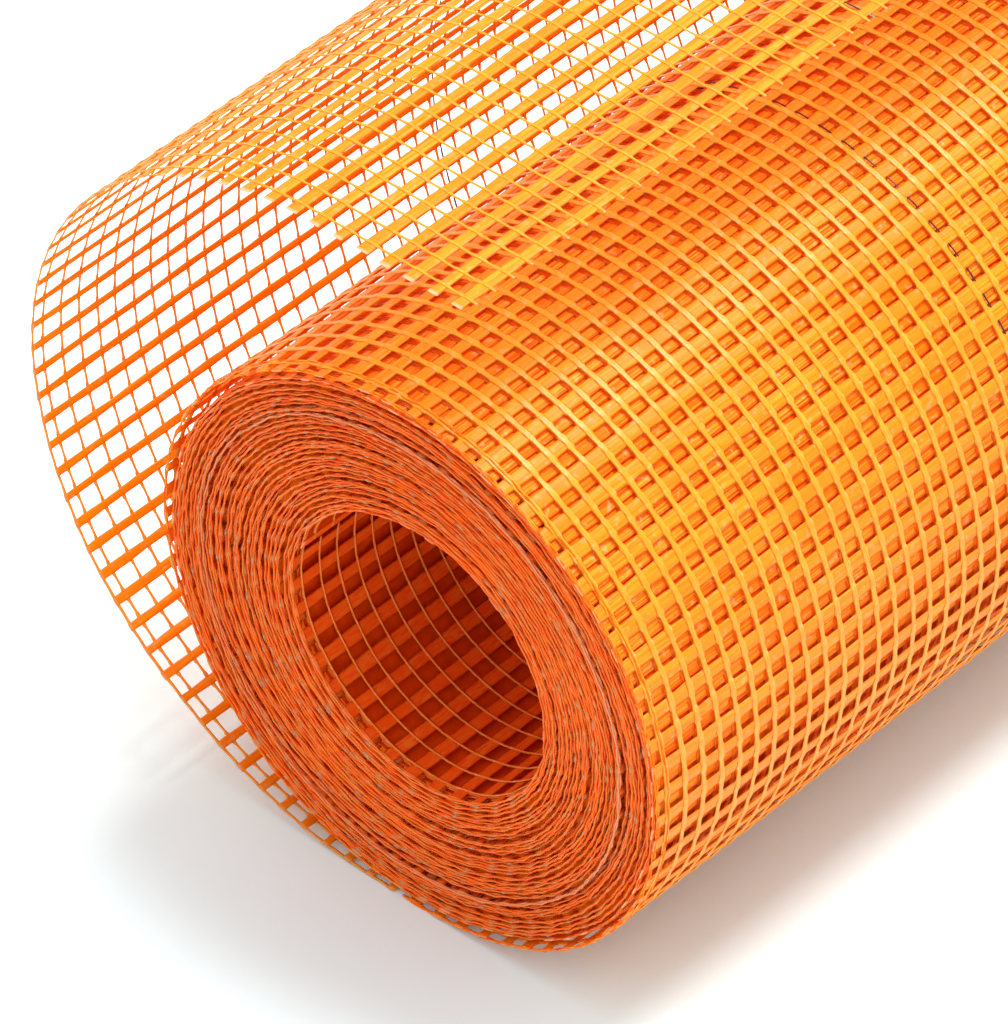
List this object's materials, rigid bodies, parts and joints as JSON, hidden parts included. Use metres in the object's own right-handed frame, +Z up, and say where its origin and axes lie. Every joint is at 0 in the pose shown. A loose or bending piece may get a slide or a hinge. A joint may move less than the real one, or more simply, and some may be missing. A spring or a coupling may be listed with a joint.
{
  "type": "roll of fiberglass mesh",
  "caption": "Roll of coated open-weave glass-fibre mesh lying on its side, with an open bore and its last turn sprung loose around it.",
  "frame": {"origin": "on the floor under the middle of the bounding box", "axes": "+X along the roll, +Y the side that the loose turn swings out to, +Z up"},
  "size_m": [1, 0.1484, 0.1464],
  "materials": {
    "coated_glass_mesh": "leno-woven glass-fibre yarns in a smooth orange coating, slightly glossy, with dry pale fibre at the cut ends"
  },
  "bodies": {
    "root": {"mesh_roll": "coated_glass_mesh"}
  },
  "joints": []
}
